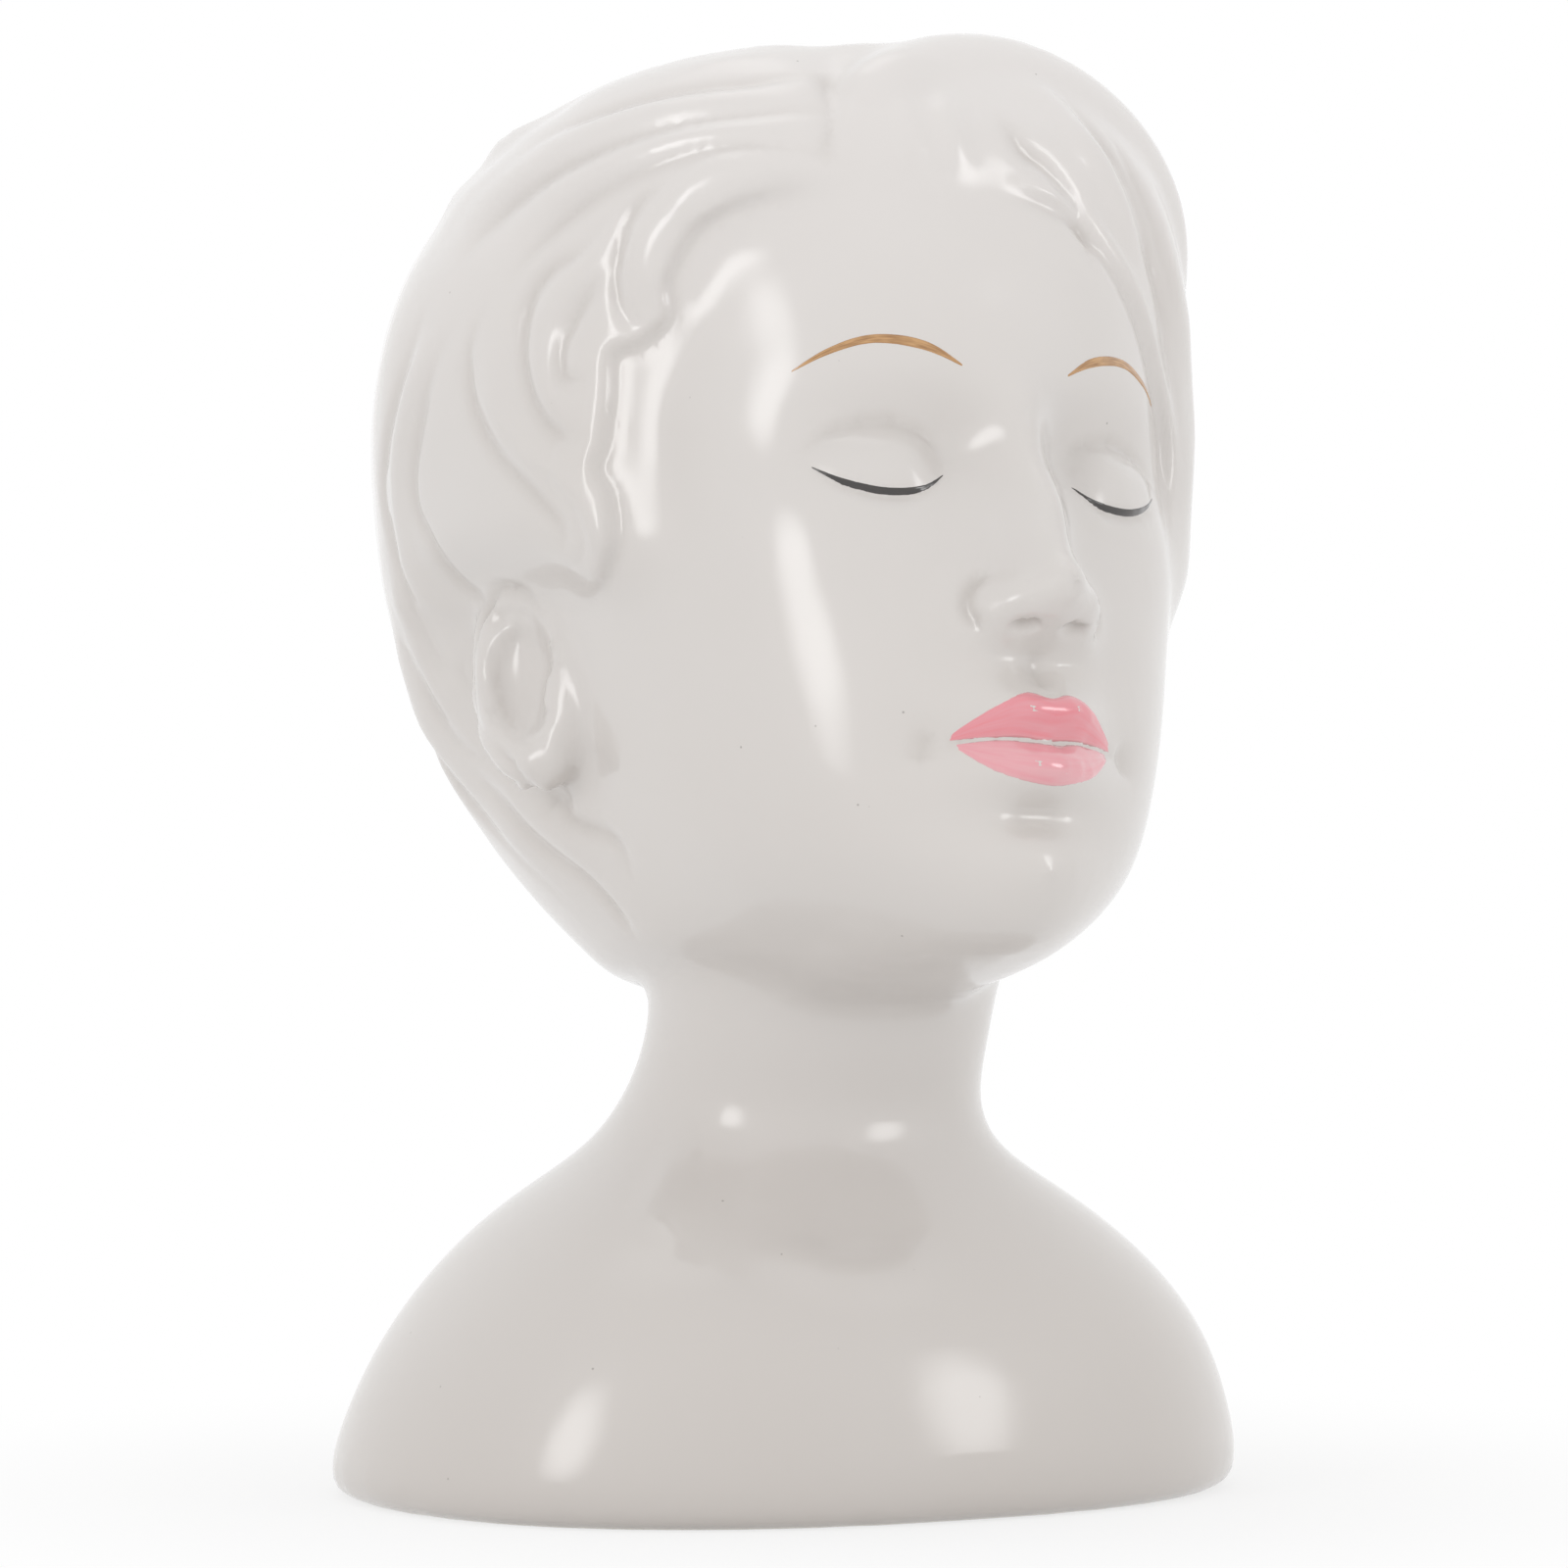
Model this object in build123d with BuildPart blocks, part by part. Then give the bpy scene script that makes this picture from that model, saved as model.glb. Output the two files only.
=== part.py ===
from build123d import *
from math import copysign, cos, exp, hypot, pi, sin
import os

# Glazed ceramic head planter: a hollow bust whose hair opens at the crown.
# The face looks along -Y and the bust stands on the ground plane.

os.makedirs("parts", exist_ok=True)

# Bust and neck, millimetres; the base lies behind the middle of the whole length
base_width = 94.6
base_depth = 77.0
base_setback = 6.4
neck_width = 34.4
neck_depth = 34.4
neck_height = 47.0
neck_lean = 7.5
neck_reach = 24.0
foot_round = 2.0

# Head, without its hair, and how it is held over the bust, degrees
head_height = 95.0
head_width = 64.0
head_depth = 80.0
head_rise = 96.0
head_forward = 8.5
head_side = 0.0
head_pitch = 14.0
head_roll = 4.0
head_yaw = 0.0

# Hair mass
hair_width = 82.0
hair_depth = 94.0
hair_edge = 2.4
crown_height = 45.8
hairline_width = 9.0
lock_width = 15.0
lock_ridge = 1.2
quiff_width = 13.0
quiff_ridge = 2.2
parting_width = 8.0
parting_depth = 1.4

# Ears
ear_height = 25.0
ear_width = 15.0
ear_thickness = 8.0
ear_setback = 9.0
ear_stand = 1.0
ear_tilt = 10.0
ear_flare = 16.0

# Casting
wall = 5.0
floor_thickness = 6.0
foot_recess = 2.5
foot_width = 6.0
mouth_width = 42.0
mouth_depth = 50.0
lip_round = 1.8
overrun = 5.0

# Drain hole and its plug
drain_diameter = 10.0
plug_clearance = 0.15
plug_flange_diameter = 17.0
plug_flange_thickness = 1.6
plug_stand = 1.5
plug_hollow_diameter = 5.2
plug_round = 0.6

# Enamel
enamel_thickness = 0.35

# Rise up the bust and neck against how much of the base's extra width is left
bust_profile_shares = [
    (0.00, 1.000),
    (0.09, 1.000),
    (0.20, 0.955),
    (0.35, 0.850),
    (0.48, 0.700),
    (0.61, 0.475),
    (0.74, 0.170),
    (0.80, 0.063),
    (0.87, 0.022),
    (1.00, 0.000),
]
# Rise up the neck against how much of its lean is reached
neck_lean_shares = [
    (0.00, 0.00),
    (0.40, 0.30),
    (0.78, 0.24),
    (1.00, 0.90),
    (1.35, 1.50),
    (1.60, 1.50),
]
# Height above the eye line, half width, front and back of the bare head
skull_shares = [
    (-0.500, 0.130, -0.400, 0.000),
    (-0.450, 0.245, -0.452, 0.130),
    (-0.380, 0.342, -0.468, 0.240),
    (-0.280, 0.405, -0.478, 0.330),
    (-0.150, 0.452, -0.480, 0.410),
    (0.000, 0.488, -0.480, 0.470),
    (0.120, 0.500, -0.490, 0.505),
    (0.250, 0.500, -0.480, 0.510),
    (0.360, 0.450, -0.430, 0.470),
    (0.440, 0.340, -0.320, 0.370),
    (0.490, 0.180, -0.150, 0.210),
]
# Height of the rim on the hair's own scale, which follows the crown above the eye line
crown_share = 0.4821
# Height on that scale, half width, front and back of the hair
hair_shares = [
    (-0.500, 0.150, -0.350, 0.200),
    (-0.430, 0.225, -0.370, 0.325),
    (-0.310, 0.320, -0.385, 0.430),
    (-0.170, 0.405, -0.395, 0.497),
    (0.000, 0.472, -0.405, 0.536),
    (0.130, 0.494, -0.415, 0.543),
    (0.260, 0.490, -0.425, 0.530),
    (0.360, 0.460, -0.405, 0.490),
    (0.430, 0.405, -0.365, 0.430),
    (0.495, 0.325, -0.305, 0.350),
]
# Across, up, rise and spreads of each swelling or hollow of the face, by head height
face_bump_shares = [
    (0.115, 0.085, 0.010, 0.090, 0.045),
    (0.000, 0.075, 0.008, 0.060, 0.050),
    (0.135, 0.015, -0.044, 0.078, 0.060),
    (0.065, 0.010, -0.022, 0.035, 0.040),
    (0.135, -0.002, 0.040, 0.060, 0.046),
    (0.135, 0.046, -0.007, 0.060, 0.019),
    (0.130, -0.056, -0.006, 0.050, 0.019),
    (0.000, 0.030, 0.022, 0.035, 0.050),
    (0.000, -0.050, 0.055, 0.036, 0.055),
    (0.000, -0.110, 0.048, 0.036, 0.050),
    (0.000, -0.160, 0.080, 0.042, 0.038),
    (0.052, -0.168, 0.042, 0.026, 0.030),
    (0.000, -0.215, -0.020, 0.050, 0.020),
    (0.230, -0.070, 0.020, 0.090, 0.080),
    (0.170, -0.200, 0.012, 0.100, 0.100),
    (0.095, -0.220, -0.008, 0.030, 0.050),
    (0.000, -0.285, 0.024, 0.110, 0.090),
    (0.030, -0.275, 0.020, 0.040, 0.020),
    (0.000, -0.334, 0.030, 0.058, 0.024),
    (0.000, -0.303, -0.014, 0.090, 0.017),
    (0.115, -0.303, -0.010, 0.026, 0.024),
    (0.000, -0.238, -0.007, 0.016, 0.028),
    (0.000, -0.378, -0.016, 0.070, 0.020),
    (0.000, -0.445, 0.030, 0.075, 0.050),
    (0.280, 0.100, -0.012, 0.050, 0.100),
    (0.090, 0.230, 0.008, 0.100, 0.090),
]
# Edge of the bare face and ears: half turns from the front and heights from the eye line
hairline_shares = [
    (-0.560, -0.600),
    (-0.560, -0.400),
    (-0.580, -0.300),
    (-0.620, -0.220),
    (-0.640, -0.130),
    (-0.620, -0.050),
    (-0.560, -0.015),
    (-0.490, -0.035),
    (-0.425, -0.080),
    (-0.390, -0.050),
    (-0.385, 0.050),
    (-0.360, 0.150),
    (-0.285, 0.250),
    (-0.200, 0.287),
    (-0.050, 0.300),
    (0.040, 0.310),
    (0.120, 0.300),
    (0.190, 0.250),
    (0.240, 0.160),
    (0.265, 0.050),
    (0.285, -0.060),
    (0.330, -0.105),
    (0.420, -0.085),
    (0.490, -0.035),
    (0.560, -0.015),
    (0.620, -0.050),
    (0.640, -0.130),
    (0.620, -0.220),
    (0.580, -0.300),
    (0.560, -0.400),
    (0.560, -0.600),
]
# The parting, from the hairline to the crown
parting_shares = [(-0.125, 0.29), (-0.12, 0.40), (-0.14, 0.50)]
# Length along a lock against how high it stands
lock_taper_shares = [(0.00, 0.40), (0.20, 0.90), (0.45, 1.00), (0.75, 0.80), (1.00, 0.25)]
# The quiff's way from the parting over the left brow: half turns from the front, and heights
quiff_shares = [
    (-0.10, 0.385),
    (-0.04, 0.441),
    (0.07, 0.464),
    (0.17, 0.436),
    (0.24, 0.365),
    (0.28, 0.270),
    (0.30, 0.160),
]
# The other locks' ways from the parting and the crown, the same way
lock_shares = [
    [(-0.08, 0.34), (0.00, 0.375), (0.10, 0.365), (0.18, 0.315), (0.235, 0.235), (0.27, 0.12)]
    + [(0.30, -0.04)],
    [(-0.15, 0.41), (-0.25, 0.425), (-0.37, 0.41), (-0.47, 0.375), (-0.56, 0.31), (-0.62, 0.19)]
    + [(-0.63, 0.06)],
    [(-0.15, 0.335), (-0.23, 0.325), (-0.31, 0.29), (-0.365, 0.235), (-0.37, 0.19)],
    [(-0.31, 0.36), (-0.39, 0.33), (-0.455, 0.27), (-0.47, 0.20), (-0.44, 0.13), (-0.40, 0.09)],
    [(-0.50, 0.31), (-0.55, 0.24), (-0.56, 0.16), (-0.52, 0.07), (-0.46, -0.01), (-0.42, -0.05)],
    [(-0.62, 0.07), (-0.67, -0.05), (-0.68, -0.16), (-0.66, -0.27), (-0.63, -0.38)],
    [(-0.72, 0.30), (-0.75, 0.14), (-0.76, -0.04), (-0.74, -0.20), (-0.70, -0.38)],
    [(-0.84, 0.36), (-0.85, 0.18), (-0.83, -0.02), (-0.80, -0.20), (-0.75, -0.40)],
    [(-0.98, 0.37), (-0.98, 0.18), (-0.96, -0.04), (-0.93, -0.24), (-0.90, -0.41)],
    [(0.87, 0.36), (0.87, 0.18), (0.87, -0.04), (0.86, -0.24), (0.85, -0.41)],
    [(0.30, 0.43), (0.46, 0.39), (0.62, 0.29), (0.72, 0.12), (0.75, -0.06), (0.74, -0.22)]
    + [(0.70, -0.38)],
    [(0.30, 0.33), (0.42, 0.27), (0.53, 0.16), (0.62, 0.04), (0.67, -0.12), (0.65, -0.28)],
]
# Painted outlines of the face from the front, by head height: upper edge, then lower edge
upper_lip_shares = (
    [(-0.105, -0.303), (-0.060, -0.272), (-0.026, -0.256), (0.000, -0.262)]
    + [(0.026, -0.256), (0.060, -0.272), (0.105, -0.303)],
    [(-0.105, -0.303), (-0.050, -0.299), (0.000, -0.303), (0.050, -0.299), (0.105, -0.303)],
)
lower_lip_shares = (
    [(-0.096, -0.310), (-0.050, -0.307), (0.0, -0.311), (0.050, -0.307), (0.096, -0.310)],
    [(-0.096, -0.310), (-0.055, -0.341), (0.0, -0.354), (0.055, -0.341), (0.096, -0.310)],
)
brow_shares = (
    [(0.055, 0.088), (0.100, 0.119), (0.150, 0.128), (0.190, 0.117), (0.226, 0.092)],
    [(0.055, 0.088), (0.100, 0.106), (0.150, 0.116), (0.190, 0.108), (0.226, 0.092)],
)
lash_shares = (
    [(0.072, -0.014), (0.105, -0.031), (0.145, -0.034), (0.182, -0.022), (0.212, -0.002)],
    [(0.072, -0.014), (0.105, -0.039), (0.145, -0.043), (0.182, -0.030), (0.212, -0.002)],
)
# Rise and inset of even steps round a rounded edge, by its radius
round_shares = [(0.0, 0.0), (0.5, 0.134), (0.866, 0.5), (1.0, 0.95)]
# Levels of the head between which the sections lie, and how many lie there
head_level_shares = [(-0.50, 7), (-0.36, 8), (-0.24, 6), (-0.13, 10), (0.06, 6), (0.20, 9)]
# Heights between which the hair leaves the skull's form for the mouth's
crown_blend_shares = (0.22, 0.44)
# Heights between which the hair comes away from the nape
nape_blend_shares = (-0.47, -0.40)
# Half turns from the front between which the hair fills out
temple_blend_shares = (0.22, 0.72)

# Height of the ear's middle from the eye line, and its dish against the whole ear
ear_rise_share = -0.135
concha_share = 0.66
# How far the hollow follows the hair's fullness behind
hair_hollow_share = 0.6
# Height in the head against how many walls the hollow keeps inside the skull
hollow_shares = [
    (-0.34, 2.6),
    (-0.26, 1.6),
    (-0.16, 1.1),
    (-0.02, 1.0),
    (0.12, 1.0),
    (0.22, 1.0),
    (0.28, 1.0),
]

head_points = 54
bust_points = 16
bust_sections = 15
hollow_sections = 10
front_crowding_share = 0.5
probe_share = 0.004
squareness_share = 0.89


def along(rows, place):
    """Values of a table at one place, on a smooth curve through its rows."""
    last = len(rows) - 1
    i = 0
    while i < last - 1 and place > rows[i + 1][0]:
        i += 1
    before, low, high, after = rows[max(i - 1, 0)], rows[i], rows[i + 1], rows[min(i + 2, last)]
    span = high[0] - low[0]
    t = (place - low[0]) / span
    values = []
    for a, b, c, d in zip(before[1:], low[1:], high[1:], after[1:]):
        rise_in = (c - a) / (high[0] - before[0]) * span
        rise_out = (d - b) / (after[0] - low[0]) * span
        curve = (2 * t - 3) * t * t
        values.append(
            (curve + 1) * b - curve * c + (t - 1) ** 2 * t * rise_in + (t - 1) * t * t * rise_out
        )
    return values


def turns(count, crowding):
    """Angles round a section, zero at the front, crowded there."""
    steps = [2 * pi * i / count - pi for i in range(count)]
    return [u - crowding * sin(u) for u in steps]


def oval(half_width, front, back, angles):
    """Points of a rounded section with its own front and back."""
    middle = (front + back) / 2
    reach = (back - front) / 2
    points = []
    for a in angles:
        across = copysign(abs(sin(a)) ** squareness_share, sin(a))
        depth = copysign(abs(cos(a)) ** squareness_share, cos(a))
        points.append((half_width * across, middle - reach * depth))
    return points


def ring(plane, points):
    """A smooth closed face through the points on a plane."""
    steps = [i / len(points) for i in range(len(points) + 1)]
    with BuildSketch(plane) as section:
        with BuildLine():
            add(Edge.make_spline([Vector(x, y) for x, y in points], periodic=True, parameters=steps))
        make_face()
    return section.sketch


def face_relief(x, z):
    """How far the face stands out in front of the plain oval head."""
    total = 0
    for across, up, rise, wide, tall in face_bump_shares:
        for side in (1, -1) if across else (1,):
            dx = (x / head_height - side * across) / wide
            dz = (z / head_height - up) / tall
            total += rise * exp(-dx * dx - dz * dz)
    return total * head_height


def skull_at(share):
    half, front, back = along(skull_shares, share)
    return half * head_width, front * head_depth, back * head_depth


def hair_at(share):
    half, front, back = along(hair_shares, share)
    return half * hair_width, front * hair_depth, back * hair_depth


def level(share):
    """Height over the eye line of a place on the hair's own scale."""
    return share * (crown_height / crown_share if share > 0 else head_height)


def hair_outline(share, angles):
    """Points of the hair at one height, close to the head in front and full behind."""
    half, front, back = skull_at(min(level(share) / head_height, skull_shares[-1][0]))
    close = oval(half + hair_edge, front - hair_edge, back + hair_edge, angles)
    full = oval(*hair_at(share), angles)
    points = []
    for (x, y), (full_x, full_y), a in zip(close, full, angles):
        behind = max(eased(abs(a) / pi, *temple_blend_shares), eased(share, *crown_blend_shares))
        points.append((x + (full_x - x) * behind, y + (full_y - y) * behind))
    return points


half_girth = pi * (hair_width + hair_depth) / 4


def nearest(turn, share, way):
    """Distance of a place on the hair from a way over it, and how far along the way that is."""
    best = (hair_depth, 0)
    for i, ((t0, s0), (t1, s1)) in enumerate(zip(way, way[1:])):
        ax, ay = (turn - t0) * half_girth, level(share) - level(s0)
        bx, by = (t1 - t0) * half_girth, level(s1) - level(s0)
        part_way = min(max((ax * bx + ay * by) / (bx * bx + by * by), 0), 1)
        off = hypot(ax - bx * part_way, ay - by * part_way)
        best = min(best, (off, (i + part_way) / (len(way) - 1)))
    return best


def is_bare(turn, share):
    """Whether a place lies inside the hairline, on the face or round an ear."""
    inside = False
    for (t0, s0), (t1, s1) in zip(hairline_shares, hairline_shares[1:] + hairline_shares[:1]):
        if (s0 > share) != (s1 > share) and turn < t0 + (share - s0) / (s1 - s0) * (t1 - t0):
            inside = not inside
    return inside


def hair_cover(turn, share):
    """How much of the hair's own form a place has: none on the skin, all of it past the hairline."""
    edge, _ = nearest(turn, share, hairline_shares)
    past = -edge if is_bare(turn, share) else edge
    return eased(past, -hairline_width / 2, hairline_width / 2) * eased(share, *nape_blend_shares)


def hair_height(turn, share):
    """How far the locks stand over the hair's plain form, and the parting under it."""
    height = 0
    for way in lock_shares:
        off, place = nearest(turn, share, way)
        swell = lock_ridge * along(lock_taper_shares, place)[0]
        height += swell * exp(-((off / (lock_width / 2)) ** 2))
    off, _ = nearest(turn, share, parting_shares)
    return height - parting_depth * exp(-((off / (parting_width / 2)) ** 2))


def hair_point(turn, share):
    """A point on the plain hair and the outward direction there."""
    here, aside = [
        Vector(x, y, level(share))
        for x, y in hair_outline(share, [turn * pi, (turn + probe_share) * pi])
    ]
    under = share - probe_share
    x, y = hair_outline(under, [turn * pi])[0]
    below = Vector(x, y, level(under))
    return here, (aside - here).cross(here - below).normalized()


def lock(rows, width, ridge):
    """A tapered roll of hair along a way, half sunk in the hair."""
    centres = []
    outs = []
    for i, (turn, share) in enumerate(rows):
        thick = along(lock_taper_shares, i / (len(rows) - 1))[0]
        point, out = hair_point(turn, share)
        centres.append(point + out * (ridge - width / 2) * thick)
        outs.append(out)
    path = Edge.make_spline(centres)
    sections = []
    for i, out in enumerate(outs):
        t = i / (len(rows) - 1)
        tangent = path.tangent_at(t)
        plane = Plane(path.position_at(t), x_dir=out - tangent * out.dot(tangent), z_dir=tangent)
        with BuildSketch(plane) as section:
            Circle(width / 2 * along(lock_taper_shares, t)[0])
        sections.append(section.sketch)
    with BuildPart() as made:
        loft(sections=sections)
    return made.part.moved(head_frame.location)


def head_section(z, inset):
    """One section of the head, with the face in front and the hair past its hairline."""
    angles = turns(head_points, front_crowding_share)
    share = z * crown_share / crown_height if z > 0 else z / head_height
    plain = hair_outline(share, angles)
    middle = sum(y for _, y in plain) / len(plain)
    points = []
    for (x, y), (hair_x, hair_y), a in zip(oval(*skull_at(z / head_height), angles), plain, angles):
        y -= face_relief(x, z) * max(0, cos(a)) ** 0.5
        swell = 1 + (hair_height(a / pi, share) - inset) / hypot(hair_x, hair_y - middle)
        cover = hair_cover(a / pi, share)
        x += (hair_x * swell - x) * cover
        y += (middle + (hair_y - middle) * swell - y) * cover
        points.append((x, y))
    return ring(head_frame.offset(z), points)


def eased(value, low, high):
    """Smooth step from 0 to 1 between two values."""
    t = min(max((value - low) / (high - low), 0), 1)
    return t * t * (3 - 2 * t)


def spread(low, high, count):
    return [low + (high - low) * i / (count - 1) for i in range(count)]


head_frame = Plane(
    Location((head_side, base_setback - head_forward, head_rise), (-head_pitch, head_roll, head_yaw))
)


base_plane = Plane((0, base_setback, 0))


def bust_at(z, inset):
    """Half width, front and back of the bust or neck at a height."""
    left = along(bust_profile_shares, min(z / neck_height, 1))[0]
    half_width = (neck_width + (base_width - neck_width) * left) / 2 - inset
    half_depth = (neck_depth + (base_depth - neck_depth) * left) / 2 - inset
    middle = base_setback - neck_lean * along(neck_lean_shares, z / neck_height)[0]
    return half_width, middle - half_depth, middle + half_depth


def mouth_section(height, flare):
    """One section of the planter's mouth, centred in the crown."""
    half, front, back = hair_at(crown_share)
    middle = (front + back) / 2
    reach = mouth_depth / 2 + flare
    points = oval(mouth_width / 2 + flare, middle - reach, middle + reach, turns(bust_points, 0))
    return ring(head_frame.offset(height), points)


def hollow_section(share):
    """One section of the hollow head, a wall inside the skull and reaching back into the hair."""
    half, front, back = skull_at(share)
    back += (hair_at(share)[2] - back) * hair_hollow_share
    inset = wall * along(hollow_shares, share)[0]
    points = oval(half - inset, front + inset, back - inset, turns(bust_points, 0))
    return ring(head_frame.offset(share * head_height), points)


# The outer form: bust and neck
with BuildPart() as body:
    angles = turns(bust_points, 0)
    heights = spread(foot_round, neck_height + neck_reach, bust_sections)
    loft(sections=[ring(Plane.XY.offset(z), oval(*bust_at(z, 0), angles)) for z in heights])
    sections = []
    for rise, inset in round_shares:
        z = foot_round * (1 - rise)
        sections.append(ring(Plane.XY.offset(z), oval(*bust_at(z, foot_round * inset), angles)))
    loft(sections=sections)

# The head with its hair, up to the rounded rim at the crown
with BuildPart() as head:
    levels = []
    lows = [low * head_height for low, _ in head_level_shares]
    highs = lows[1:] + [crown_height - lip_round]
    for low, high, (_, count) in zip(lows, highs, head_level_shares):
        levels += [low + (high - low) * i / count for i in range(count)]
    loft(sections=[head_section(z, 0) for z in levels + highs[-1:]])
    sections = []
    for rise, inset in round_shares:
        z = crown_height - lip_round + lip_round * rise
        sections.append(head_section(z, lip_round * inset))
    loft(sections=sections)

# One ear, then its twin
with BuildPart() as concha:
    Sphere(ear_height / 2)
    scale(by=(ear_thickness / ear_height, ear_width / ear_height * concha_share, concha_share))
with BuildPart() as ear:
    Sphere(ear_height / 2)
    scale(by=(ear_thickness / ear_height, ear_width / ear_height, 1))
    with Locations((-ear_thickness / 2, -ear_width * (1 - concha_share) / 4, 0)):
        add(concha.part, mode=Mode.SUBTRACT)
with BuildPart() as ears:
    half, front, back = skull_at(ear_rise_share)
    place = (-half - ear_stand, ear_setback, ear_rise_share * head_height)
    add(ear.part.moved(head_frame.location * Location(place, (-ear_tilt, 0, ear_flare))))
    mirror(about=Plane(head_frame.origin, z_dir=head_frame.x_dir))

# The casting: the solid form, then its hollow from the mouth down to the drain
with BuildPart() as ceramic:
    add(head.part)
    add(ears.part)
    add(lock(quiff_shares, quiff_width, quiff_ridge))
    add(body.part)
    solid_form = ceramic.part
    angles = turns(bust_points, 0)
    sections = []
    for z in spread(foot_recess + floor_thickness, neck_height + neck_reach, hollow_sections):
        sections.append(ring(Plane.XY.offset(z), oval(*bust_at(z + wall / 2, wall), angles)))
    loft(sections=sections, mode=Mode.SUBTRACT)
    low, high = hollow_shares[0][0], hollow_shares[-1][0]
    sections = [hollow_section(share) for share in spread(low, high, hollow_sections)]
    throat = crown_height - 2 * lip_round
    sections += [mouth_section(z, 0) for z in spread(high * head_height, throat, 3)[1:]]
    loft(sections=sections, mode=Mode.SUBTRACT)
    loft(
        sections=[mouth_section(throat, 0), mouth_section(crown_height, lip_round)],
        mode=Mode.SUBTRACT,
    )
    loft(
        sections=[mouth_section(z, lip_round) for z in (crown_height, crown_height + overrun)],
        mode=Mode.SUBTRACT,
    )
    with BuildSketch(base_plane):
        Circle(drain_diameter / 2)
    extrude(amount=foot_recess + floor_thickness + overrun, mode=Mode.SUBTRACT)
    with BuildSketch(Plane.XY):
        add(ring(Plane.XY, oval(*bust_at(0, foot_width), angles)))
    extrude(amount=foot_recess, mode=Mode.SUBTRACT)

ceramic.part.label = "ceramic_body"
export_step(ceramic.part, "parts/ceramic_body.step")

# Enamel, a thin skin of the face inside each painted outline
front_plane = Plane(head_frame.origin, x_dir=head_frame.x_dir, z_dir=-head_frame.y_dir)
enamel_skin = head.part.moved(Location(front_plane.z_dir * enamel_thickness))
enamel_outlines = [
    ("upper_lip_enamel", upper_lip_shares, 1),
    ("lower_lip_enamel", lower_lip_shares, 1),
    ("left_brow_enamel", brow_shares, 1),
    ("right_brow_enamel", brow_shares, -1),
    ("left_lash_enamel", lash_shares, 1),
    ("right_lash_enamel", lash_shares, -1),
]
for name, (upper, lower), side in enamel_outlines:
    with BuildPart() as enamel:
        with BuildSketch(front_plane):
            with BuildLine():
                Spline(*[(side * x * head_height, z * head_height) for x, z in upper])
                Spline(*[(side * x * head_height, z * head_height) for x, z in lower])
            make_face()
        extrude(amount=head_depth)
        add(enamel_skin, mode=Mode.INTERSECT)
        add(solid_form, mode=Mode.SUBTRACT)
    enamel.part.label = name
    export_step(enamel.part, f"parts/{name}.step")

# The plug, pushed up into the drain hole from below until its flange meets the floor
with BuildPart() as plug:
    with BuildSketch(base_plane.offset(foot_recess - plug_flange_thickness)):
        Circle(plug_flange_diameter / 2)
    extrude(amount=plug_flange_thickness)
    with BuildSketch(base_plane.offset(foot_recess)):
        Circle(drain_diameter / 2 - plug_clearance)
    extrude(amount=floor_thickness + plug_stand)
    chamfer(plug.edges().group_by(Axis.Z)[0], plug_round)
    chamfer(plug.edges().group_by(Axis.Z)[-1], plug_round)
    with BuildSketch(base_plane.offset(foot_recess - plug_flange_thickness)):
        Circle(plug_hollow_diameter / 2)
    extrude(amount=plug_flange_thickness + floor_thickness, mode=Mode.SUBTRACT)

plug.part.label = "drain_plug"
export_step(plug.part, "parts/drain_plug.step")
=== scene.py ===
import logging
import math
from dataclasses import dataclass, field, replace
from enum import Enum
from typing import Iterator, Sequence

import bpy
import numpy as np
from mathutils import Matrix, Vector
from mathutils.bvhtree import BVHTree
from mathutils.kdtree import KDTree


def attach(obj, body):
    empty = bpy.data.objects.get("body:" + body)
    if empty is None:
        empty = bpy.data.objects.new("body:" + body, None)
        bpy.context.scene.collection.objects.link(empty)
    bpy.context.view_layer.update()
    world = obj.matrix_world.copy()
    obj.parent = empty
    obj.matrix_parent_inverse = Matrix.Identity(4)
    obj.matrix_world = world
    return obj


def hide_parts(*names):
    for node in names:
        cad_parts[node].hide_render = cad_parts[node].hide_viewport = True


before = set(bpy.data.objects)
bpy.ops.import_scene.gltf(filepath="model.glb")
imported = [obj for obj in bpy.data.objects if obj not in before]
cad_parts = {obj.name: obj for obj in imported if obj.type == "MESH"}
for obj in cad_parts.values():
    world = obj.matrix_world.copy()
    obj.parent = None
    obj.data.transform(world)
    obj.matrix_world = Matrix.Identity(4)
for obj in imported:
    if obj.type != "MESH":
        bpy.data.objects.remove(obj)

LOG = logging.getLogger("head_planter")
MM = 0.001
PHOTO_SIDE = 1600
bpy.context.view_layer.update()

Pair = tuple[float, float]
Way = Sequence[Pair]


def linear(hex_colour: str) -> tuple[float, float, float, float]:
    """Turn an sRGB hex colour into linear light.

    Args:
        hex_colour: Six hex digits, such as "d7d2cf".

    Returns:
        Red, green, blue and full alpha, linear.
    """
    values = [int(hex_colour[i : i + 2], 16) / 255 for i in (0, 2, 4)]
    bent = [v / 12.92 if v <= 0.04045 else ((v + 0.055) / 1.055) ** 2.4 for v in values]
    return (bent[0], bent[1], bent[2], 1.0)


def eased(value: np.ndarray, low: float, high: float) -> np.ndarray:
    """Smooth step from 0 to 1 between two values.

    Args:
        value: Numbers to step.
        low: Where the step starts.
        high: Where the step ends.

    Returns:
        The stepped numbers.
    """
    t = np.clip((value - low) / (high - low), 0.0, 1.0)
    return t * t * (3.0 - 2.0 * t)


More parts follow.
